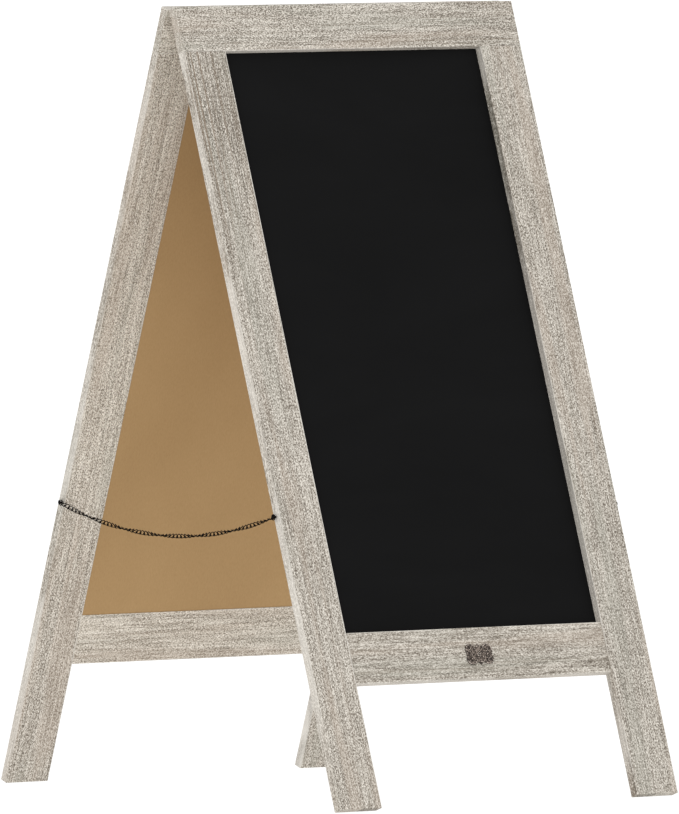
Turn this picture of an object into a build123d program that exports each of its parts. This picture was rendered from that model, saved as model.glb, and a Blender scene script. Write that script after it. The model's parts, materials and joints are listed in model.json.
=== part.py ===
from build123d import *
import math
import os

os.makedirs("parts", exist_ok=True)

# A two-sided menu easel: two equal wooden frames, each holding a thin painted
# board, joined at the top by a pair of butt hinges and kept from spreading by a
# light chain on each side. Millimetres, +X to the viewer's right, the front
# frame leans back from -Y, +Z up, origin on the floor midway between the feet.

# ---- Driving dimensions -----------------------------------------------------
width = 508.0             # overall width of either frame
frame_length = 1000.0     # foot to top, measured along the leaning frame
lean = 19.2               # each frame from the vertical, easel open
wood = 12.0               # thickness of stiles and top rail
stile = 62.0              # width of a stile
top_rail = 57.0           # height of the top rail
bottom_rail = 63.5        # height of the bottom rail
leg = 153.0               # foot to the bottom rail's lower edge
rail_setback = 1.4        # bottom rail's face behind the stiles' face
ease = 0.8                # rounding of the handled arrises

board_back = 0.8          # board's brown side in from the frame's inner face
board = 1.6               # hardboard sheet
groove = 5.0              # depth of the groove that holds it
board_bite = 4.5          # how far the sheet enters that groove

tenon_thick = 4.0         # loose tenons in the butt joints
tenon_wide = 32.0
tenon_half = 16.0         # length in each member
tenon_slack = 0.5         # room left at each end of the mortise

hinge_x = 150.0           # hinge centres either side of the middle
hinge_long = 50.0
leaf_drop = 22.0
leaf_thick = 1.3
barrel = 3.0              # outside radius of the knuckles
pin = 1.5                 # radius of the hinge pin
pin_play = 0.05
knuckles = 5
knuckle_gap = 0.25
face_gap = 3.3            # pin's axis to either frame's inner face
above_pin = 3.7           # frame's top above the pin's axis, along the frame

eye_along = 364.5         # chain screws up from the foot, along the stile
eye_deep = 4.5            # chain screws in from the stile's inner face
chain_sag = 31.0          # middle of the chain below its screws
wire = 1.3                # chain wire
link_inner = 7.55         # link, inside length
link_gap = 3.4            # link, inside width
pitch = 7.40
half_turns = 3            # times that half a chain turns over by half
ring = 3.25               # end ring, radius of its centreline
neck = 1.1                # chain screw's shank
neck_long = 3.75          # bare shank between wood and head

# ---- Places worked out from them --------------------------------------------
half = width / 2
inner_x = half - stile
z_top = above_pin                       # along the frame, from the pin's axis
z_foot = above_pin - frame_length
z_joint = z_top - top_rail              # under the top rail
z_low = z_foot + leg                    # bottom rail's lower edge
z_high = z_low + bottom_rail            # bottom rail's upper edge
tilt = math.radians(lean)
pin_height = (frame_length - above_pin) * math.cos(tilt) - face_gap * math.sin(tilt)


def deep(depth):
    """Y of a plane this far outwards from the upright front frame's inner face."""
    return -(face_gap + depth)


def block(x0, x1, d0, d1, z0, z1):
    """A box in the upright front frame, d measured outwards from its inner face."""
    y0, y1 = deep(d1), deep(d0)
    return Pos((x0 + x1) / 2, (y0 + y1) / 2, (z0 + z1) / 2) * Box(
        x1 - x0, y1 - y0, z1 - z0
    )


def rounded(solid, *picks):
    """Rounds the edges that lie at the given places, each {axis: value, ...}."""
    chosen = []
    for edge in solid.edges():
        centre = edge.center()
        for pick in picks:
            if all(
                abs(getattr(centre, axis) - value) < 1e-6
                for axis, value in pick.items()
            ):
                chosen.append(edge)
                break
    return fillet(chosen, ease)


# ---- One frame, upright, its hinge pin along X through the origin -----------
mortise_d0 = (wood - tenon_thick) / 2
mortise_d1 = mortise_d0 + tenon_thick
joint_x = (half + inner_x) / 2          # middle of a stile
rail_z = (z_low + z_high) / 2
reach = tenon_half + tenon_slack


def upright_tenon(x, slack):
    return block(
        x - tenon_wide / 2, x + tenon_wide / 2, mortise_d0, mortise_d1,
        z_joint - tenon_half - slack, z_joint + tenon_half + slack,
    )


def level_tenon(x, slack):
    return block(
        x - tenon_half - slack, x + tenon_half + slack, mortise_d0, mortise_d1,
        rail_z - tenon_wide / 2, rail_z + tenon_wide / 2,
    )


def board_slot(extra):
    """The sheet with its edges this far into the frame."""
    return block(
        -inner_x - extra, inner_x + extra, board_back, board_back + board,
        z_high - extra, z_joint + extra,
    )


def make_stile(side):
    x0, x1 = sorted((side * inner_x, side * half))
    face, back = deep(wood), deep(0)
    body = block(x0, x1, 0, wood, z_foot, z_joint)
    body = rounded(
        body,
        {"X": x0, "Y": face}, {"X": x1, "Y": face},
        {"X": side * half, "Y": back},
        {"Y": face, "Z": z_foot},
    )
    body -= board_slot(groove)
    body -= upright_tenon(side * joint_x, tenon_slack)
    body -= level_tenon(side * inner_x, tenon_slack)
    return body - (eye_place(side) * eye_hole())


def make_top_rail():
    face, back = deep(wood), deep(0)
    body = block(-half, half, 0, wood, z_joint, z_top)
    body = rounded(
        body,
        {"Y": face, "Z": z_top}, {"Y": face, "Z": z_joint},
        {"Y": back, "Z": z_top},
        {"X": -half, "Y": face}, {"X": half, "Y": face},
    )
    body -= board_slot(groove)
    for side in (-1, 1):
        body -= upright_tenon(side * joint_x, tenon_slack)
        for place in leaf_screw_places(side):
            body -= place * screw_hole()
    return body


def make_bottom_rail():
    face = deep(wood - rail_setback)
    body = block(-inner_x, inner_x, 0, wood - rail_setback, z_low, z_high)
    body = rounded(body, {"Y": face, "Z": z_low}, {"Y": face, "Z": z_high})
    body -= board_slot(groove)
    for side in (-1, 1):
        body -= level_tenon(side * inner_x, tenon_slack)
    return body


def nailed(rail):
    """The front bottom rail, with the plaque's two nail holes."""
    for side in (-1, 1):
        hole = Pos(side * plaque_pin_x, 0, -4) * Cylinder(0.64, 8.4)
        rail -= plaque_place * hole
    return rail


def turned(profile):
    """A solid turned about Z from a closed list of (radius, height) points."""
    outline = Polyline(*[(r, 0, z) for r, z in profile], close=True)
    return revolve(make_face(outline), axis=Axis.Z)


# ---- Screws -----------------------------------------------------------------
screw_head, screw_shank, screw_long = 2.9, 1.35, 9.5


def wood_screw():
    """A countersunk screw, its head's top at Z = 0, pointing down."""
    body = turned([
        (0, 0), (screw_head, 0), (screw_shank, -1.5),
        (screw_shank, -screw_long + 2), (0, -screw_long),
    ])
    for angle in (0, 90):
        body -= Rot(0, 0, angle) * Pos(0, 0, -0.3) * Box(3.4, 0.7, 0.6)
    return body


def screw_hole():
    """The hole and countersink that a screw of this kind leaves."""
    play = 0.04
    return turned([
        (0, 0.5), (screw_head + play + 0.5, 0.5), (screw_shank + play, -1.5),
        (screw_shank + play, -screw_long - 0.2), (0, -screw_long - 0.2),
    ])


def leaf_screw_places(side):
    """The four screw places in one hinge leaf on the upright front frame."""
    for dx, dz in ((-17, -8), (17, -8), (-17, -17), (17, -17)):
        yield (
            Pos(side * hinge_x + dx, deep(-leaf_thick), dz) * Rot(-90, 0, 0)
        )


def chain_screw():
    """A low pan-headed screw along Z, its wood surface at Z = 0."""
    body = turned([
        (0, neck_long + 1.05), (1.9, neck_long + 1.05), (2.5, neck_long + 0.9),
        (2.7, neck_long + 0.7), (2.7, neck_long + 0.6), (neck, neck_long),
        (neck, -13), (0, -15.5),
    ])
    return body - Pos(0, 0, neck_long + 1.0) * Box(3.8, 0.7, 0.7)


def eye_hole():
    return Pos(0, 0, -7.9) * Cylinder(neck + 0.04, 16.2)


def eye_place(side):
    """A chain screw's place on the upright front frame, Z pointing outwards."""
    return Pos(side * half, deep(eye_deep), z_foot + eye_along) * Rot(0, side * 90, 0)


# ---- Hinge, upright, its two leaves closed face to face ----------------------
def knuckle_spans():
    step = hinge_long / knuckles
    for i in range(knuckles):
        low = -hinge_long / 2 + i * step
        yield i, low, low + step


def make_leaf(side, front):
    """One leaf on the front frame; the rear one is this with the other knuckles."""
    x0 = side * hinge_x
    plate = Pos(x0, deep(-leaf_thick / 2), -leaf_drop / 2) * Box(
        hinge_long, leaf_thick, leaf_drop
    )
    corners = [
        e for e in plate.edges().filter_by(Axis.Y)
        if abs(e.center().Z + leaf_drop) < 1e-6
    ]
    plate = fillet(corners, 2.5)
    for i, low, high in knuckle_spans():
        mine = (i % 2 == 0) == front
        spot = Pos(x0 + (low + high) / 2, 0, 0) * Rot(0, 90, 0)
        if mine:
            plate += spot * Cylinder(barrel, high - low - knuckle_gap)
    for i, low, high in knuckle_spans():
        if (i % 2 == 0) != front:
            spot = Pos(x0 + (low + high) / 2, 0, 0) * Rot(0, 90, 0)
            plate -= spot * Cylinder(barrel + 0.35, high - low + knuckle_gap)
    bore = pin if front else pin + pin_play
    plate -= Pos(x0, 0, 0) * Rot(0, 90, 0) * Cylinder(bore, hinge_long + 4)
    for place in leaf_screw_places(side):
        plate -= place * screw_hole()
    return plate


def make_pin(side):
    long = hinge_long + 0.6
    body = Pos(side * hinge_x, 0, 0) * Rot(0, 90, 0) * Cylinder(pin, long)
    return chamfer(body.edges().filter_by(GeomType.CIRCLE), 0.3)


# ---- Plaque, flat on XY, facing +Z -------------------------------------------
plaque_wide, plaque_high, plaque_thick = 40.0, 26.0, 1.1
lobe = 7.6
plaque_drop = 1.6          # its middle below the rail's


def plaque_outline(shrink, beads=True):
    lobe_x = plaque_wide / 2 - lobe
    lobe_y = plaque_high / 2 - lobe
    shape = Rectangle(2 * lobe_x + 12 - 2 * shrink, 2 * lobe_y + 10 - 2 * shrink)
    for sx in (-1, 1):
        for sy in (-1, 1):
            shape += Pos(sx * lobe_x, sy * lobe_y) * Circle(lobe - shrink)
    for side in (-1, 1) if beads else ():
        shape += Pos(0, side * (lobe_y + 5.2)) * Circle(2.2 - shrink / 2)
        shape += Pos(side * (lobe_x + 5.1), 0) * Circle(1.7 - shrink / 2)
    return shape


plaque_pin_x = 12.0


def make_plaque():
    body = extrude(plaque_outline(0), plaque_thick)
    body += Pos(0, 0, plaque_thick) * extrude(plaque_outline(1.4), 0.5)
    body -= Pos(0, 0, plaque_thick) * extrude(plaque_outline(2.6, False), 0.5)
    body += Pos(0, 0, plaque_thick) * extrude(Ellipse(8.5, 5.2), 0.6)
    for sx in (-1, 1):
        body -= Pos(sx * plaque_pin_x, 0, 0) * Cylinder(0.64, 8)
    return body


def plaque_nail():
    """A round-headed nail, its head on the plaque's face, the plaque at Z = 0."""
    return turned([
        (0, plaque_thick + 0.8), (0.7, plaque_thick + 0.7),
        (1.15, plaque_thick + 0.3), (1.25, plaque_thick),
        (0.6, plaque_thick), (0.6, -6.5), (0, -7.5),
    ])


plaque_place = Pos(0, deep(wood - rail_setback), rail_z - plaque_drop) * Rot(90, 0, 0)

# ---- Chain ------------------------------------------------------------------
# Each chain hangs in one plane beside the stiles as an arc between its screws.
# It is cut at the middle, and each half again at its own middle, so that it can
# hang down between the frames as they close.
eye_y = -(face_gap + eye_deep) * math.cos(tilt) + (z_foot + eye_along) * math.sin(tilt)
eye_z = (
    (face_gap + eye_deep) * math.sin(tilt)
    + (z_foot + eye_along) * math.cos(tilt)
    + pin_height
)
chain_radius = (eye_y**2 + chain_sag**2) / (2 * chain_sag)
chain_centre = eye_z - chain_sag + chain_radius
half_angle = math.asin(-eye_y / chain_radius)
half_chain = chain_radius * half_angle
ring_slip = ring - wire / 2 - neck - 0.12     # ring hangs off the screw's neck
first_link = ring_slip + ring + (link_inner - wire) / 2 - 0.3
link_count = round((half_chain - first_link) / pitch + 0.5)
pitch_fit = (half_chain - first_link) / (link_count - 0.5)
chain_turn = pitch_fit * (link_count - 1) / half_turns
cut = link_count // 2


def chain_link():
    """An oval link along X, in the XY plane."""
    bend = (link_gap + wire) / 2
    mid = Align.CENTER
    straight = link_inner + wire - 2 * bend
    body = None
    for side in (-1, 1):
        rod = Pos(0, side * bend, 0) * Rot(0, 90, 0) * Cylinder(wire / 2, straight)
        end = (
            Pos(side * straight / 2, 0, 0)
            * Rot(0, 0, -90 * side)
            * Torus(bend, wire / 2, major_angle=180, align=(mid, Align.MIN, mid))
        )
        body = rod + end if body is None else body + rod + end
    return body


def on_arc(from_eye):
    """The frame at this distance along the front half, from its screw: X runs on
    towards the rear, and Z runs along the screw, out from the easel."""
    angle = half_angle - from_eye / chain_radius
    return (
        Pos(0, -chain_radius * math.sin(angle), chain_centre - chain_radius * math.cos(angle))
        * Rot(-math.degrees(angle), 0, 0)
        * Rot(0, 0, 90)
        * Rot(90, 0, 0)
    )


def chain_piece(outer):
    """Half of the front half of a chain, in the plane X = 0."""
    link = chain_link()
    solids = []
    numbers = range(cut) if outer else range(cut, link_count)
    if outer:
        solids.append(on_arc(ring_slip) * Torus(ring, wire / 2))
    for n in numbers:
        away = first_link + n * pitch_fit
        turn = 90 + 180 * (away - first_link) / chain_turn + (45 if n % 2 else -45)
        solids.append(on_arc(away) * Rot(turn, 0, 0) * link)
    return solids


# ---- Everything into place ---------------------------------------------------
def front(shape):
    return Pos(0, 0, pin_height) * Rot(-lean, 0, 0) * shape


def rear(shape):
    return Pos(0, 0, pin_height) * Rot(lean, 0, 0) * mirror(shape, about=Plane.XZ)


sides = {"left": -1, "right": 1}
pieces = {}
for name, place in (("front", front), ("rear", rear)):
    pieces[f"{name}_top_rail"] = place(make_top_rail())
    rail = make_bottom_rail()
    pieces[f"{name}_bottom_rail"] = place(nailed(rail) if name == "front" else rail)
    pieces[f"{name}_chalkboard"] = place(board_slot(board_bite))
    for word, side in sides.items():
        pieces[f"{name}_{word}_stile"] = place(make_stile(side))
        pieces[f"{name}_{word}_top_tenon"] = place(upright_tenon(side * joint_x, 0))
        pieces[f"{name}_{word}_bottom_tenon"] = place(level_tenon(side * inner_x, 0))
        pieces[f"{name}_{word}_chain_screw"] = place(eye_place(side) * chain_screw())
        pieces[f"hinge_{word}_{name}_leaf"] = place(make_leaf(side, name == "front"))
        screws = [p * wood_screw() for p in leaf_screw_places(side)]
        pieces[f"hinge_{word}_{name}_screws"] = place(Compound(children=screws))

for word, side in sides.items():
    pieces[f"hinge_{word}_pin"] = front(make_pin(side))
    pieces[f"plaque_{word}_nail"] = front(
        plaque_place * Pos(side * plaque_pin_x, 0, 0) * plaque_nail()
    )
    chain_x = side * (half + neck_long - wire / 2 - 0.05)
    for outer in (True, False):
        links = chain_piece(outer)
        where = "outer" if outer else "inner"
        for name, turn in (("front", 0), ("rear", 180)):
            place = Pos(chain_x, 0, 0) * Rot(0, 0, turn)
            pieces[f"chain_{word}_{name}_{where}"] = Compound(
                children=[place * link for link in links]
            )
pieces["plaque"] = front(plaque_place * make_plaque())

for node, shape in pieces.items():
    export_step(shape, f"parts/{node}.step")

print("nodes", len(pieces))
print("pin height", round(pin_height, 3), "eye", round(eye_y, 3), round(eye_z, 3))
print("chain half", round(half_chain, 2), "links per half", link_count, "cut", cut,
      "pitch", round(pitch_fit, 4), "turn", round(chain_turn, 2), "radius",
      round(chain_radius, 2))
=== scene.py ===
# %% [markdown]
# # A folding menu chalkboard
#
# A two-sided easel: two whitewashed wooden frames, hinged at the top, each with
# a thin black writing board let into it. A light black chain on either side
# keeps the feet from sliding apart. The joinery, hinges and screws arrive as
# finished solids, so this lesson dresses them: it gives every surface its
# finish, and it makes the two pieces whose beauty is in fine metalwork, the
# twisted chain and the little cast plaque.

# %% Load the frame
import json
import math

import bmesh
import bpy
from mathutils import Matrix, Vector


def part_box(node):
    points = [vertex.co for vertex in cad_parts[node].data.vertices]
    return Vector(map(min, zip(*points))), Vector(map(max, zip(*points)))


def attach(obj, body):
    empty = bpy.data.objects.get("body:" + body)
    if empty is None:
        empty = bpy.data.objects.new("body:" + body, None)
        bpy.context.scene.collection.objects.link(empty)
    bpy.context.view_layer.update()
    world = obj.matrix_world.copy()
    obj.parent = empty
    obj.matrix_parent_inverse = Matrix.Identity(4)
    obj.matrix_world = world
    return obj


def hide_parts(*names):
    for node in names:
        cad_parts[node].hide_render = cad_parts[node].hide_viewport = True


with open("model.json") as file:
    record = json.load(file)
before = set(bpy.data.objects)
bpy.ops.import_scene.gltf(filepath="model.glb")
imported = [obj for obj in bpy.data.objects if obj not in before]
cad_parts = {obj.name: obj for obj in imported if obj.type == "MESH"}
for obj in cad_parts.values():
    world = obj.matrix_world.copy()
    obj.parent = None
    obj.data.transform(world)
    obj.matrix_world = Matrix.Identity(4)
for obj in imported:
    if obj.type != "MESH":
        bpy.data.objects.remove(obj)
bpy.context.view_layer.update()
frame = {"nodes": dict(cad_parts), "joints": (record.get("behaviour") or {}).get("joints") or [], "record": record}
nodes = frame["nodes"]

# %% [markdown]
# Everything is placed from the loaded model. The fold's hinge gives the pin at
# the top, and a foot's own direction gives the lean of a frame. All lengths are
# in metres, so a millimetre gets a name of its own.

# %% Find the pin and the lean
MM = 0.001
joints = {joint["name"]: joint for joint in frame["joints"]}
mounts = {mount["name"]: mount for mount in frame["record"]["mounts"]}
pin = Vector(joints["frame_fold"]["pos_m"])
foot_way = Vector(mounts["foot_front_left"]["axis"])
LEAN = math.atan2(-foot_way.y, -foot_way.z)
print("pin height", round(pin.z, 4), "lean", round(math.degrees(LEAN), 2))

# %% [markdown]
# ## A small language for shaders
#
# A finish is a piece of arithmetic on noise. Written as node calls it can't be
# read, so `Value` wraps a socket and lets Python's own operators add the Math
# nodes: `1 - mask * 0.5` is a Subtract and a Multiply. `Finish` holds one
# material, and its `add` makes any other node from its type, its settings and
# what its sockets are given.

# %% Wrap a socket
class Value:
    def __init__(self, finish, socket):
        self.finish, self.socket = finish, socket

    def math(self, operation, *others, clamp=False):
        return self.finish.add(
            "ShaderNodeMath", {"operation": operation, "use_clamp": clamp}, self, *others
        )

    def __add__(self, other):
        return self.math("ADD", other)

    def __sub__(self, other):
        return self.math("SUBTRACT", other)

    def __mul__(self, other):
        return self.math("MULTIPLY", other)

    def __truediv__(self, other):
        return self.math("DIVIDE", other)

    def __rsub__(self, other):
        return self.finish.add(
            "ShaderNodeMath", {"operation": "SUBTRACT"}, other, self
        )

    __radd__ = __add__
    __rmul__ = __mul__

    def size(self):
        return self.math("ABSOLUTE")

    def held(self):
        return self.math("ADD", 0.0, clamp=True)

    def span(self, low, high):
        """0 below low, 1 above high, and smooth between."""
        return self.finish.add(
            "ShaderNodeMapRange",
            {"interpolation_type": "SMOOTHSTEP"},
            Value=self, **{"From Min": low, "From Max": high},
        )


# %% Hold a material
class Finish:
    def __init__(self, name):
        self.material = bpy.data.materials.new(name)
        self.material.use_nodes = True
        self.tree = self.material.node_tree
        self.shader = self.tree.nodes["Principled BSDF"]

    def add(self, kind, settings, *inputs, out=0, **named):
        node = self.tree.nodes.new(kind)
        for key, value in settings.items():
            setattr(node, key, value)
        for key, value in [*enumerate(inputs), *named.items()]:
            self.feed(node.inputs[key], value)
        return Value(self, node.outputs[out])

    def feed(self, socket, value):
        if isinstance(value, Value):
            self.tree.links.new(value.socket, socket)
        else:
            socket.default_value = value

    def place(self, turn=0.0, shift=(0.0, 0.0, 0.0)):
        """Object coordinates, turned about X into a frame's own upright axes."""
        spot = self.add("ShaderNodeTexCoord", {}, out="Object")
        return self.add(
            "ShaderNodeMapping", {},
            Vector=spot, Rotation=(turn, 0.0, 0.0), Location=shift,
        )

    def facing(self, turn=0.0):
        """The surface's own direction, turned the same way."""
        way = self.add("ShaderNodeTexCoord", {}, out="Normal")
        return self.add(
            "ShaderNodeMapping", {"vector_type": "NORMAL"},
            Vector=way, Rotation=(turn, 0.0, 0.0),
        )

    def part(self, vector, axis):
        return self.add("ShaderNodeSeparateXYZ", {}, vector, out=axis)

    def noise(self, place, scale, detail=2.0, rough=0.5, warp=0.0):
        """Noise with this many grains to the metre along each axis."""
        spread = self.add(
            "ShaderNodeVectorMath", {"operation": "MULTIPLY"}, place, scale
        )
        return self.add(
            "ShaderNodeTexNoise", {},
            Vector=spread, Scale=1.0, Detail=detail, Roughness=rough, Distortion=warp,
        )

    def mix(self, factor, low, high):
        node = self.tree.nodes.new("ShaderNodeMix")
        node.data_type = "RGBA"
        for index, value in ((0, factor), (6, low), (7, high)):
            self.feed(node.inputs[index], value)
        return Value(self, node.outputs[2])

    def ramp(self, value, *stops):
        node = self.tree.nodes.new("ShaderNodeValToRGB")
        steps = node.color_ramp.elements
        while len(steps) < len(stops):
            steps.new(1.0)
        for step, (at, colour) in zip(steps, stops):
            step.position, step.color = at, colour
        self.feed(node.inputs[0], value)
        return Value(self, node.outputs[0])

    def bump(self, height, depth, strength=1.0):
        return self.add(
            "ShaderNodeBump", {}, Height=height, Distance=depth, Strength=strength
        )

    def surface(self, **sockets):
        for name, value in sockets.items():
            title = name.replace("_", " ").title().replace("Ior", "IOR")
            self.feed(self.shader.inputs[title], value)
        return self.material


def rgb(red, green, blue):
    return (red, green, blue, 1.0)


print("shader helpers ready")

# %% [markdown]
# ## Whitewashed, wire-brushed timber
#
# The members are a pale softwood that was brushed along the grain, washed with
# thin white paint and rubbed back. What is left is layered: broad warmer and
# greener patches, a few brown lines of heartwood, and a dense speckle of paint
# and bare wood, where each fleck is a little longer than it is wide. Heartwood
# is strong on one stile of each frame only, towards its top, and there the wood
# is also made darker as a whole. The sawn edges show less contrast than the
# faces, those of the stiles beside a board are darkened with painted shade, and
# the arrises are rubbed here and there. Beside the board, the arris of those two
# stiles also carries a painted highlight. The inner faces are painted lighter,
# as painted light where the frames shade each other. One function makes the
# finish, so it needs to know how a member lies: the way its grain runs, and
# where its two long edges are.

# %% Measure a member
def extent(node, turn, axis):
    """Middle and half width of a solid, along one of its frame's own axes."""
    upright = Matrix.Rotation(turn, 3, "X")
    spots = [(upright @ vert.co)["XYZ".index(axis)] for vert in nodes[node].data.vertices]
    return (min(spots) + max(spots)) / 2, (max(spots) - min(spots)) / 2


print("left stile, across:", extent("front_left_stile", LEAN, "X"))


# %% [markdown]
# Two ramps run from bare wood up to thick wash: one for the outer faces, and a
# lighter one for the inner faces, which is painted light where the frames shade
# each other. Both are mixed as fresh wash, and one tint then yellows every
# colour by a little, as age does.

# %% Mix the colours of the wash
AGED = (0.99, 0.98, 0.97)


def wash(*fresh):
    """A colour of fresh wash, given as it looks with age."""
    return rgb(*(part * kept for part, kept in zip(fresh, AGED)))


OUTER_WASH = (
    (0.00, wash(0.105, 0.086, 0.066)),
    (0.28, wash(0.232, 0.205, 0.170)),
    (0.50, wash(0.388, 0.357, 0.309)),
    (0.72, wash(0.550, 0.515, 0.457)),
    (1.00, wash(0.745, 0.710, 0.645)),
)
# The lighter ramp is painted light for the inner faces, which sit in shade.
LIT_INNER_WASH = (
    (0.00, wash(0.150, 0.125, 0.098)),
    (0.28, wash(0.330, 0.293, 0.240)),
    (0.50, wash(0.525, 0.478, 0.408)),
    (0.72, wash(0.690, 0.645, 0.570)),
    (1.00, wash(0.830, 0.790, 0.720)),
)
print("thickest wash", [round(part, 3) for part in LIT_INNER_WASH[-1][1][:3]])


# %% [markdown]
# Every mark is noise that is drawn out along the grain. Its two scales say how
# many grains there are to the metre, across the member and along it.

# %% Draw the marks of the grain
PATCH_SCALE, TINT_SCALE, STREAK_SCALE = (22.0, 6.0), (38.0, 3.0), (470.0, 15.0)
FLECK_SCALE, SPECK_SCALE = (1200.0, 370.0), (900.0, 470.0)
PORE_SCALE, HEART_SCALE = (900.0, 60.0), (330.0, 2.4)


def grain_marks(wood, spot, grain):
    """Broad patches and tints first, then the finer marks of the brush."""
    def marks(scale, detail=2.0, rough=0.5, warp=0.0):
        across, length = scale
        drawn_out = tuple(length if axis == grain else across for axis in "XYZ")
        return wood.noise(spot, drawn_out, detail, rough, warp)

    return (
        marks(PATCH_SCALE, 3.0, 0.55, 0.5),
        marks(TINT_SCALE),
        marks(STREAK_SCALE, 3.0, 0.6),
        marks(FLECK_SCALE, 2.0, 0.6),
        marks(SPECK_SCALE, 2.0, 0.6),
        marks(PORE_SCALE).span(0.60, 0.68),
        marks(HEART_SCALE, 3.0, 0.6).span(0.54, 0.66),
    )


# %% [markdown]
# The inner faces are painted lighter than the outer ones, as painted light where
# the frames shade each other, and less so near the floor. Over that lie the warm
# and the greenish patches.

# %% Lay the wash
INNER_LIGHT_LOW, INNER_LIGHT_FULL = 0.10, 0.42
WARM_PATCH, GREEN_PATCH = rgb(0.420, 0.335, 0.265), rgb(0.330, 0.340, 0.290)


def inner_painted_light(wood, turn, grain):
    """1 on an inner face that gets the full painted light, 0 on an outer face."""
    inner_way = math.copysign(1.0, turn)
    height = wood.part(wood.place(), "Z")
    lit_inside = wood.part(wood.facing(turn), "Y") * inner_way
    # Painted light: inner faces get the lighter ramp in place of light in the shade between the frames, weaker
    # near the floor.
    lit_inside = lit_inside.span(0.3, 0.8) * (height.span(INNER_LIGHT_LOW, INNER_LIGHT_FULL) * 0.8 + 0.2)
    # The rails sit deepest in that shade, so they take the painted light in full.
    return (lit_inside * 3.0).held() if grain == "X" else lit_inside


def wash_colour(wood, tone, kept, tint):
    # kept here is the painted inner light: it picks the lighter ramp.
    colour = wood.mix(kept, wood.ramp(tone, *OUTER_WASH), wood.ramp(tone, *LIT_INNER_WASH))
    colour = wood.mix(tint.span(0.52, 0.66) * 0.24, colour, WARM_PATCH)
    return wood.mix((1 - tint.span(0.34, 0.48)) * 0.19, colour, GREEN_PATCH)


# %% Make the timber finish
HEART_STRONG, HEART_GONE = 0.06, 0.34
ARRIS_BAND_START, ARRIS_BAND_FULL = 1.9 * MM, 0.7 * MM
HEARTWOOD, ARRIS_WEAR_AND_HIGHLIGHT = rgb(0.185, 0.135, 0.092), rgb(0.640, 0.610, 0.560)
FRONT_EDGE, REAR_EDGE = 0.165, 0.13


def timber(node, turn, grain, shift, heart_and_dark_top, grit, board_arris_highlight):
    wood = Finish(f"timber_{node}")
    marks = grain_marks(wood, wood.place(turn, shift), grain)
    patch, tint, streak, fleck, speck, pore, lines = marks
    true_spot = wood.place(turn)
    cross = "X" if grain == "Z" else "Z"
    middle, reach = extent(node, turn, cross)
    end, long = extent(node, turn, grain)
    board_middle = extent(f"{node.split('_')[0]}_chalkboard", turn, cross)[0]
    from_middle = wood.part(true_spot, cross) - middle
    from_end = (end + long) - wood.part(true_spot, grain)

    upper = 1 - from_end.span(HEART_STRONG, HEART_GONE)
    outer = (0.62 - from_middle / reach * 0.5).held()
    heartwood = lines * (0.22 + upper * outer * heart_and_dark_top * 0.85) * (1.25 - speck)

    board_way = math.copysign(1.0, board_middle - middle)
    by_board = (from_middle * board_way).span(0.0, MM)
    edge = 1 - wood.part(wood.facing(turn), "Y").size().span(0.55, 0.98)
    # Painted shade: on a stile, the edge faces on the board's side are darkened, as shade in the recess beside the
    # board.
    shaded = edge * by_board if grain == "Z" else 0.0
    edge = edge - shaded
    tone = (
        0.5
        + (speck - 0.5) * (2.55 * grit)
        + (fleck - 0.5) * (2.25 * grit)
        + (streak - 0.5) * 1.25
        + (patch - 0.5) * 0.28
        - pore * 0.10
        # The upper part of these stiles is also made darker as a whole.
        - upper * heart_and_dark_top * 0.11
        - shaded * 0.30
    ) * (1 - edge * 0.28) + edge * (FRONT_EDGE if turn > 0 else REAR_EDGE)

    colour = wash_colour(wood, tone, inner_painted_light(wood, turn, grain), tint)
    colour = wood.mix(heartwood, colour, HEARTWOOD)
    # The arris band takes random wear where the patches fall, and on the stiles beside a board a painted highlight
    # along the board's edge.
    arris_wear_and_highlight = from_middle.size().span(reach - ARRIS_BAND_START, reach - ARRIS_BAND_FULL)
    arris_wear_and_highlight = arris_wear_and_highlight * (patch.span(0.40, 0.55) * 0.45 + by_board * board_arris_highlight).held()
    colour = wood.mix(arris_wear_and_highlight, colour, ARRIS_WEAR_AND_HIGHLIGHT)
    relief = streak * 0.4 + fleck * 0.35 + speck * 0.25 - pore * 0.4
    return wood.surface(
        base_color=colour,
        roughness=(0.72 + (fleck - 0.5) * 0.35 + edge * 0.04).held(),
        normal=wood.bump(relief, 0.45 * MM, 0.6),
        specular_ior_level=0.25,
    )


# %% Dress the two frames
def dress(node, material):
    nodes[node].data.materials.clear()
    nodes[node].data.materials.append(material)


GRIT, RAIL_GRIT = 1.2, {"front_bottom_rail": 0.72, "rear_bottom_rail": 0.95}
HEART_STILES = ("front_left_stile", "rear_right_stile")

turns = {"front": LEAN, "rear": -LEAN}
members = [node for node in nodes if node.endswith(("_stile", "_rail"))]
for number, node in enumerate(sorted(members)):
    turn = turns[node.split("_")[0]]
    grain = "Z" if node.endswith("_stile") else "X"
    shift = (0.73 * number, 0.31 * number, 1.17 * number)
    # These two stiles carry strong heartwood, a darker top and the painted arris highlight beside their board.
    heart_and_dark_top, board_arris_highlight = (1.0, 0.5) if node in HEART_STILES else (0.15, 0.0)
    grit = RAIL_GRIT.get(node, GRIT)
    dress(node, timber(node, turn, grain, shift, heart_and_dark_top, grit, board_arris_highlight))
print("timber on", len(members), "members")

# %% [markdown]
# The loose tenons are hidden in the joints. They get the same kind of wood
# without its paint, as a plain clean-cut softwood.

# %% Dress the tenons
bare = Finish("bare_softwood")
ring_lines = bare.noise(bare.place(), (300.0, 300.0, 20.0), 3.0)
bare_wood = bare.surface(
    base_color=bare.mix(ring_lines, rgb(0.42, 0.27, 0.13), rgb(0.60, 0.43, 0.24)),
    roughness=0.62 + (ring_lines - 0.5) * 0.2,
    normal=bare.bump(ring_lines, 0.2 * MM),
)
for node in nodes:
    if node.endswith("_tenon"):
        dress(node, bare_wood)
print("tenons dressed")

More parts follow.
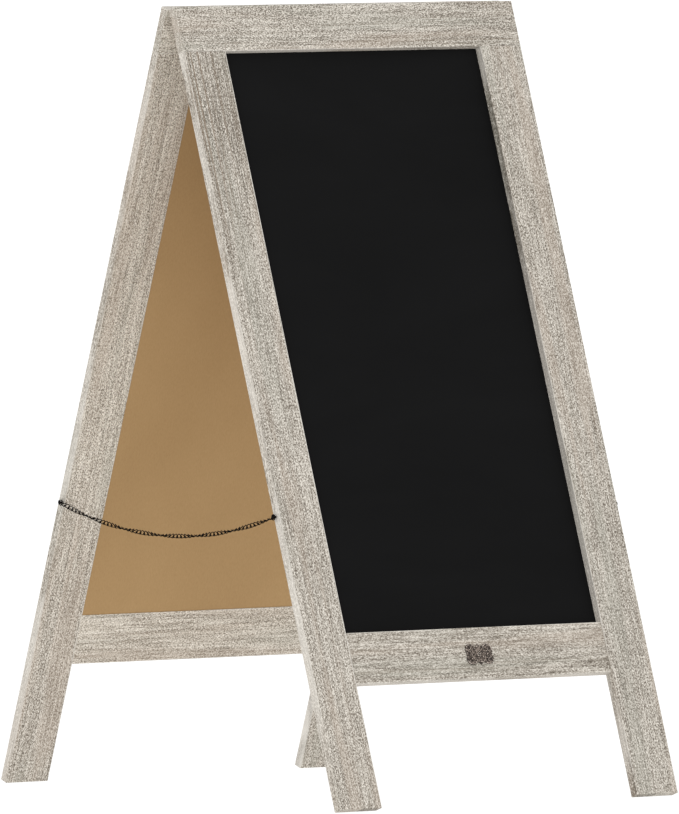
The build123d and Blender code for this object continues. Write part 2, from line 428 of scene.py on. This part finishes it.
# %% [markdown]
# ## The writing boards
#
# A board is one sheet of hardboard. Its outer side has a matt black writing
# coat, a little cloudy where chalk was wiped off, and its inner side is left as
# brown pressed fibre. The two looks are one material: which side a point is on
# follows from the way its surface faces, so the coat ends exactly at the edge.

# %% Make the board finish
def hardboard(name, turn, outward):
    sheet = Finish(name)
    spot = sheet.place(turn)
    side = sheet.part(sheet.facing(turn), "Y") * outward
    coated = side.span(0.2, 0.6)
    wiped = sheet.noise(spot, (3.0, 3.0, 9.0), 4.0, 0.6, 0.4)
    grain = sheet.noise(spot, (900.0, 900.0, 900.0), 2.0)
    black = sheet.ramp(
        wiped * 0.8 + grain * 0.2,
        (0.30, rgb(0.0052, 0.0052, 0.0053)),
        (0.75, rgb(0.0076, 0.0076, 0.0078)),
    )
    fibre = sheet.noise(spot, (700.0, 700.0, 260.0), 3.0, 0.6)
    cloud = sheet.noise(spot, (7.0, 7.0, 5.0), 3.0)
    brown = sheet.ramp(
        fibre * 0.55 + cloud * 0.45,
        (0.25, rgb(0.322, 0.203, 0.095)),
        (0.50, rgb(0.368, 0.238, 0.114)),
        (0.75, rgb(0.415, 0.274, 0.136)),
    )
    return sheet.surface(
        base_color=sheet.mix(coated, brown, black),
        roughness=0.62 + (wiped - 0.5) * 0.16 + (grain - 0.5) * 0.1,
        normal=sheet.bump(grain * 0.5 + fibre * 0.5, 0.12 * MM, 0.35),
        specular_ior_level=0.03,
    )


for name, outward in (("front", -1.0), ("rear", 1.0)):
    dress(f"{name}_chalkboard", hardboard(f"board_{name}", turns[name], outward))
print("boards dressed")

# %% [markdown]
# ## Metal
#
# There are three metals. The chain and its screws are black, a thin baked coat
# that shows a little bare steel where pieces rub. The hinges are bright zinc
# plate with soft cloudy patches. The plaque is dark cast metal, brown in its
# hollows and lighter on what stands proud and faces outwards, partly from wear
# and partly as a painted highlight.

# %% Make the metal finishes
def black_coat():
    coat = Finish("black_coat")
    spot = coat.place()
    blotch = coat.noise(spot, (420.0, 420.0, 420.0), 3.0)
    worn = blotch.span(0.66, 0.78)
    return coat.surface(
        base_color=coat.mix(worn * 0.4, rgb(0.0022, 0.0016, 0.0011), rgb(0.030, 0.024, 0.018)),
        metallic=worn * 0.3,
        roughness=0.55 + (blotch - 0.5) * 0.3,
        normal=coat.bump(blotch, 0.05 * MM),
        specular_ior_level=0.04,
    )


def zinc_plate():
    plate = Finish("zinc_plate")
    spot = plate.place()
    cloud = plate.noise(spot, (130.0, 130.0, 130.0), 4.0, 0.6)
    brushed = plate.noise(spot, (30.0, 1500.0, 1500.0), 2.0)
    return plate.surface(
        base_color=plate.mix(cloud, rgb(0.34, 0.33, 0.31), rgb(0.56, 0.55, 0.52)),
        metallic=0.9,
        roughness=0.34 + (cloud - 0.5) * 0.3 + (brushed - 0.5) * 0.15,
        normal=plate.bump(brushed, 0.03 * MM, 0.5),
    )


black_steel, zinc = black_coat(), zinc_plate()
for node in nodes:
    if node.endswith("chain_screw"):
        dress(node, black_steel)
    if node.startswith("hinge"):
        dress(node, zinc)
print("metal on screws and hinges")


# %% [markdown]
# ## From bmesh to a finished piece
#
# Every new piece ends the same way: its mesh becomes an object at the origin,
# shaded smooth up to an angle, with its material and its body, and the solids
# that it stands for are hidden.

# %% Finish a piece
def finish_piece(bm, name, body, material, replaced, crease=35.0):
    mesh = bpy.data.meshes.new(name)
    bm.to_mesh(mesh)
    bm.free()
    mesh.materials.append(material)
    mesh.shade_smooth()
    mesh.set_sharp_from_angle(angle=math.radians(crease))
    piece = bpy.data.objects.new(name, mesh)
    bpy.context.scene.collection.objects.link(piece)
    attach(piece, body)
    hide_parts(*replaced)


# %% [markdown]
# ## The chains
#
# It is curb chain: each link is an oval of wire, twisted about its length, so
# that linked together they lie flat like a ribbon. A link starts as a ring: a
# circle of wire section is spun about Z, its two halves are drawn apart to make
# the straight sides, and the whole is twisted. The ribbon then hangs in an arc
# and turns over as it goes, three half turns on each side of its middle.

# %% Measure the chain
WIRE = 1.2 * MM
LINK_INSIDE = 7.5 * MM
LINK_GAP = 3.7 * MM
LINK_TWIST = math.radians(43.0)
END_RING = 3.25 * MM
RING_SLIP = 1.38 * MM
FIRST_LINK = 7.455 * MM
SAG = 31.0 * MM
LINKS = 29
HALF_TURNS = 3
TURN_START = 10.0 * MM

eye = Vector(joints["chain_left_front_swing"]["pos_m"])
arc_radius = (eye.y**2 + SAG**2) / (2 * SAG)
arc_top = eye.z - SAG + arc_radius
half_chain = arc_radius * math.asin(-eye.y / arc_radius)
pitch = (half_chain - FIRST_LINK) / (LINKS - 0.5)
print("half chain", round(half_chain, 4), "pitch", round(pitch, 5))

# %% [markdown]
# The place of a link is a turned and moved copy of one set of axes: X along the
# chain, Z along the screw. `hang` gives it for any distance from the chain's
# middle, negative towards the front.

# %% Hang the arc
def hang(from_middle):
    angle = from_middle / arc_radius
    spot = Vector((0.0, arc_radius * math.sin(angle), arc_top - arc_radius * math.cos(angle)))
    run_on = Matrix.Rotation(math.radians(90), 4, "Z")
    return Matrix.Translation(spot) @ Matrix.Rotation(angle, 4, "X") @ run_on


def wire_ring(bm, radius, sections=14, sides=7):
    """A ring of wire in the XY plane: a small circle spun about Z."""
    section = bmesh.ops.create_circle(
        bm, radius=WIRE / 2, segments=sides,
        matrix=Matrix.Translation((0, radius, 0)) @ Matrix.Rotation(math.radians(90), 4, "Y"),
    )["verts"]
    edges = list({edge for vert in section for edge in vert.link_edges})
    start = Matrix.Rotation(math.radians(180 / sections), 3, "Z")
    bmesh.ops.rotate(bm, verts=section, matrix=start, cent=(0, 0, 0))
    bmesh.ops.spin(
        bm, geom=section + edges, cent=(0, 0, 0), axis=(0, 0, 1),
        angle=math.tau, steps=sections, use_merge=True,
    )


def pattern_mesh(bm, name):
    """The bmesh as a mesh that can be copied along the chain, facing outwards."""
    bmesh.ops.recalc_face_normals(bm, faces=bm.faces)
    mesh = bpy.data.meshes.new(name)
    bm.to_mesh(mesh)
    bm.free()
    return mesh


def curb_link():
    bm = bmesh.new()
    bend = (LINK_GAP + WIRE) / 2
    wire_ring(bm, bend)
    stretch = (LINK_INSIDE + WIRE) / 2 - bend
    reach = stretch + bend
    for side in (-1, 1):
        half = [v for v in bm.verts if v.co.x * side > 0]
        bmesh.ops.translate(bm, verts=half, vec=(side * stretch, 0, 0))
    for vert in bm.verts:
        roll = Matrix.Rotation(LINK_TWIST * vert.co.x / reach, 3, "X")
        vert.co = roll @ vert.co
    return pattern_mesh(bm, "curb_link")


def end_ring():
    bm = bmesh.new()
    wire_ring(bm, END_RING, sections=20)
    return pattern_mesh(bm, "end_ring")


link_mesh, ring_mesh = curb_link(), end_ring()
print("link faces", len(link_mesh.polygons), "ring faces", len(ring_mesh.polygons))

# %% Link the chains together
def placed(bm, mesh, matrix):
    """Adds a copy of a mesh to a bmesh, moved by a matrix."""
    copy = mesh.copy()
    copy.transform(matrix)
    bm.from_mesh(copy)
    bpy.data.meshes.remove(copy)


def chain_stretch(side, end, where):
    """One of the four stretches of a chain, at the front or rear, outer or inner."""
    name = f"chain_{side}_{end}_{where}"
    chain_x = sum(corner.x for corner in map(Vector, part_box(name))) / 2
    across = Matrix.Translation((chain_x, 0, 0))
    way = -1 if end == "front" else 1
    bm = bmesh.new()
    if where == "outer":
        flat = Matrix.Rotation(math.radians(90), 4, "X")
        placed(bm, ring_mesh, across @ hang(way * (half_chain - RING_SLIP)) @ flat)
    cut = LINKS // 2
    for number in range(cut) if where == "outer" else range(cut, LINKS):
        from_middle = way * (half_chain - FIRST_LINK - number * pitch)
        half_turns = HALF_TURNS * (from_middle - TURN_START) / (half_chain - FIRST_LINK)
        turned = Matrix.Rotation(math.pi * half_turns, 4, "X")
        placed(bm, link_mesh, across @ hang(from_middle) @ turned)
    finish_piece(bm, f"{name}_links", name, black_steel, [name], 60.0)


for side in ("left", "right"):
    for end in ("front", "rear"):
        for where in ("outer", "inner"):
            chain_stretch(side, end, where)
print("chains hung")

# %% [markdown]
# ## The plaque
#
# A little cast plate with four round lobes, a raised rim and a leafy ornament.
# Its outline is what a ray from the middle meets last: a lobe, the plate's
# straight side or a small bead. From that outline a circle is drawn out to
# shape, then extruded and inset ring by ring like a turned moulding.

# %% Draw the outline
PLAQUE_WIDE, PLAQUE_HIGH, LOBE = 40.0 * MM, 26.0 * MM, 7.6 * MM
lobe_x, lobe_y = PLAQUE_WIDE / 2 - LOBE, PLAQUE_HIGH / 2 - LOBE
plate_x, plate_y = lobe_x + 6.0 * MM, lobe_y + 5.0 * MM
rounds = [(sx * lobe_x, sy * lobe_y, LOBE) for sx in (-1, 1) for sy in (-1, 1)]
rounds += [(0.0, side * (lobe_y + 5.2 * MM), 2.2 * MM) for side in (-1, 1)]
rounds += [(side * (lobe_x + 5.1 * MM), 0.0, 1.7 * MM) for side in (-1, 1)]


def outline_reach(angle, shrink):
    """How far the plaque's edge is from its middle at this angle."""
    way = Vector((math.cos(angle), math.sin(angle)))
    far = min(
        (plate_x - shrink) / max(abs(way.x), 1e-6),
        (plate_y - shrink) / max(abs(way.y), 1e-6),
    )
    for x, y, radius in rounds:
        beside = way.x * y - way.y * x
        room = (radius - shrink) ** 2 - beside**2
        if radius > shrink and room > 0:
            far = max(far, way.x * x + way.y * y + math.sqrt(room))
    return far


print("plaque half width", round(outline_reach(0.0, 0.0) / MM, 2), "mm")

# %% [markdown]
# Each step of the moulding is one extrusion of the plate's open edge, drawn in
# by so much and lifted by so much: up the side, over a round rim, and down to
# the sunk field. The last ring is filled as the field itself.

# %% Cast the plate
RIM = [(0, 0), (0, 0.9), (0.25, 1.35), (0.75, 1.65), (1.35, 1.55), (1.75, 0.95)]
ROUND_STEPS = 160


def plaque_plate(bm):
    loop = bmesh.ops.create_circle(bm, radius=1.0, segments=ROUND_STEPS)["verts"]
    angles = [math.atan2(vert.co.y, vert.co.x) for vert in loop]
    for shrink, height in RIM:
        if height:
            made = bmesh.ops.extrude_edge_only(bm, edges=edges)["geom"]
            fresh = [part for part in made if isinstance(part, bmesh.types.BMVert)]
            loop = [
                next(edge.other_vert(vert) for edge in vert.link_edges
                     if edge.other_vert(vert) in fresh)
                for vert in loop
            ]
        for vert, angle in zip(loop, angles):
            far = outline_reach(angle, shrink * MM)
            vert.co = (far * math.cos(angle), far * math.sin(angle), height * MM)
        ring = set(loop)
        edges = [e for e in bm.edges if e.verts[0] in ring and e.verts[1] in ring]
        if not height:
            bmesh.ops.contextual_create(bm, geom=edges)
    bmesh.ops.contextual_create(bm, geom=edges)


bm = bmesh.new()
plaque_plate(bm)
print("plate faces", len(bm.faces))

# %% [markdown]
# The ornament is what a founder's pattern maker would carve: bosses pressed
# low, leaves, and little scrolls of wire-like stem. A boss is a flattened
# sphere, and a scroll is a round section spun part of a turn, closed at its
# ends.

# %% Raise the ornament
FIELD = 0.9


def boss(bm, x, y, long, wide, high, turn=0.0):
    shape = (
        Matrix.Translation((x * MM, y * MM, FIELD * MM))
        @ Matrix.Rotation(math.radians(turn), 4, "Z")
        @ Matrix.Diagonal((long * MM, wide * MM, high * MM, 1.0))
    )
    bmesh.ops.create_uvsphere(bm, u_segments=12, v_segments=8, radius=1.0, matrix=shape)


def scroll(bm, x, y, radius, start, sweep, thick=0.55):
    centre = Vector((x * MM, y * MM, FIELD * MM))
    out = Matrix.Rotation(math.radians(start), 4, "Z")
    place = (
        Matrix.Translation(centre) @ out @ Matrix.Translation((radius * MM, 0, 0))
        @ Matrix.Rotation(math.radians(90), 4, "X")
    )
    end = bmesh.ops.create_circle(
        bm, cap_ends=True, radius=thick * MM, segments=8, matrix=place,
    )["verts"]
    face = end[0].link_faces[0]
    bmesh.ops.spin(
        bm, geom=[*end, *face.edges, face], cent=centre, axis=(0, 0, 1),
        angle=math.radians(sweep), steps=14,
    )


def corner_ornament(bm, sx, sy):
    x, y = sx * lobe_x / MM, sy * lobe_y / MM
    turn = 0 if sx > 0 else 180
    scroll(bm, x, y, 4.5, turn - 130 * sx * sy, 250 * sx * sy)
    for petal in range(5):
        angle = math.radians(72 * petal + 18)
        boss(bm, x + 2.1 * math.cos(angle), y + 2.1 * math.sin(angle),
             1.5, 0.75, 1.0, math.degrees(angle))
    boss(bm, x, y, 1.0, 1.0, 1.35)
    boss(bm, sx * 6.3, sy * 7.4, 2.6, 0.85, 0.9, -sx * sy * 24)
    boss(bm, sx * 5.3, sy * 4.4, 2.6, 0.8, 0.95, sx * sy * 42)


for sx in (-1, 1):
    for sy in (-1, 1):
        corner_ornament(bm, sx, sy)
for leaf in range(8):
    angle = math.radians(45 * leaf)
    boss(bm, 3.0 * math.cos(angle), 2.5 * math.sin(angle), 1.8, 0.8, 0.95,
         math.degrees(angle))
for side in (-1, 1):
    scroll(bm, side * 7.6, 0, 2.1, 0, 300, 0.5)
    boss(bm, side * 7.6, 0, 0.95, 0.95, 1.1)
    boss(bm, 0, side * 9.0, 1.0, 1.5, 0.9)
boss(bm, 0, 0, 1.4, 1.4, 1.4)
bmesh.ops.recalc_face_normals(bm, faces=bm.faces)
print("plaque faces", len(bm.faces))

# %% [markdown]
# Dark cast metal stays dark in the hollows. Its outward-facing flats are
# lighter, most of all those that stand proud of the rail: this is partly wear
# and partly a painted highlight. Old polish dries on it in small pale spots. A
# steep side faces away, so it gets no painted highlight and keeps its dark
# colour.

# %% Finish the plaque
plaque_mid = sum((Vector(corner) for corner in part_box("plaque")), Vector()) / 2
outward = Vector((0.0, -math.cos(LEAN), math.sin(LEAN)))
PLAQUE_THICK = 1.7 * MM
plaque_back = plaque_mid - outward * PLAQUE_THICK / 2


def cast_metal():
    cast = Finish("cast_plaque")
    spot = cast.place(LEAN)
    pit = cast.noise(spot, (1100.0, 1100.0, 1100.0), 3.0, 0.6)
    grime = cast.noise(spot, (560.0, 560.0, 560.0), 1.0).span(0.42, 0.58)
    back_y = (Matrix.Rotation(LEAN, 3, "X") @ plaque_back).y
    stands = back_y - cast.part(spot, "Y")
    proud = stands.span(1.0 * MM, 2.0 * MM)
    flat = cast.part(cast.facing(LEAN), "Y").size().span(0.45, 0.95)
    # Painted highlight, partly real wear: flats that face outwards, most of all those standing proud, get a
    # lighter colour.
    worn = (flat * (0.34 + proud * 0.22) + grime * 0.52 - 0.12).held()
    colour = cast.ramp(
        worn,
        (0.00, rgb(0.010, 0.007, 0.005)),
        (0.35, rgb(0.036, 0.024, 0.017)),
        (0.70, rgb(0.165, 0.126, 0.100)),
        (1.00, rgb(0.840, 0.740, 0.650)),
    )
    return cast.surface(
        base_color=colour,
        metallic=0.20 + worn * 0.4,
        roughness=0.46 + (pit - 0.5) * 0.4,
        normal=cast.bump(pit, 0.10 * MM),
    )


stand = Matrix.Rotation(math.radians(90) - LEAN, 4, "X")
bm.transform(Matrix.Translation(plaque_back) @ stand)
plaque_metal = cast_metal()
finish_piece(bm, "plaque_cast", "front_frame", plaque_metal, ["plaque"], 50.0)
for side in ("left", "right"):
    dress(f"plaque_{side}_nail", plaque_metal)
print("plaque at", [round(c, 4) for c in plaque_mid])

# %% [markdown]
# ## A plain studio
#
# The floor is a wide sheet of lit white acrylic, as on a product table: it
# glows a little, so that shadows under the easel stay faint and the undersides
# aren't black. A white surround lights everything softly. One large lamp stands
# near the camera's side, low down, so that its light also goes in between the
# frames.

# %% Lay the floor and the surround
FLOOR_REACH, FLOOR_GLOW, SURROUND_GLOW = 90.0, 0.92, 1.02

bm = bmesh.new()
bmesh.ops.create_grid(bm, x_segments=1, y_segments=1, size=FLOOR_REACH)
floor_mesh = bpy.data.meshes.new("floor")
bm.to_mesh(floor_mesh)
bm.free()
floor = bpy.data.objects.new("floor", floor_mesh)
bpy.context.scene.collection.objects.link(floor)
acrylic = Finish("lit_acrylic")
floor_mesh.materials.append(acrylic.surface(
    base_color=rgb(0.24, 0.24, 0.24), roughness=0.9, specular_ior_level=0.0,
    emission_color=rgb(1, 1, 1), emission_strength=FLOOR_GLOW,
))

surround = bpy.data.worlds.new("surround")
surround.use_nodes = True
background = surround.node_tree.nodes["Background"].inputs
background["Color"].default_value = rgb(1, 1, 1)
background["Strength"].default_value = SURROUND_GLOW
bpy.context.scene.world = surround
bpy.context.scene.view_settings.view_transform = "Standard"
print("studio laid")

# %% Hang the lamp
LAMP_PLACE, LAMP_AIM = (-4.6, -3.8, 1.1), (0, 0, 0.45)
LAMP_WIDE, LAMP_POWER = 2.2, 95.0


def soft_light(name, spot, target, size, power):
    data = bpy.data.lights.new(name, "AREA")
    data.shape, data.size, data.energy = "DISK", size, power
    lamp = bpy.data.objects.new(name, data)
    lamp.location = spot
    lamp.rotation_euler = (Vector(spot) - Vector(target)).to_track_quat("Z", "Y").to_euler()
    bpy.context.scene.collection.objects.link(lamp)


soft_light("key", LAMP_PLACE, LAMP_AIM, LAMP_WIDE, LAMP_POWER)
print("lamp hung")

# %% Set the camera
AZIMUTH, ELEVATION = math.radians(-37.056), math.radians(2.621)
DISTANCE, LENS, SENSOR = 21.284, 935.9, 36.0
aim = Vector((0.0008, -0.0028, 0.4617))
back = Vector((
    math.sin(AZIMUTH) * math.cos(ELEVATION),
    -math.cos(AZIMUTH) * math.cos(ELEVATION),
    math.sin(ELEVATION),
))
eye_data = bpy.data.cameras.new("studio_camera")
eye_data.sensor_fit, eye_data.sensor_width, eye_data.lens = "HORIZONTAL", SENSOR, LENS
camera = bpy.data.objects.new("studio_camera", eye_data)
camera.location = aim + back * DISTANCE
camera.rotation_euler = back.to_track_quat("Z", "Y").to_euler()
bpy.context.scene.collection.objects.link(camera)
bpy.context.scene.camera = camera
print("camera at", [round(c, 2) for c in camera.location])
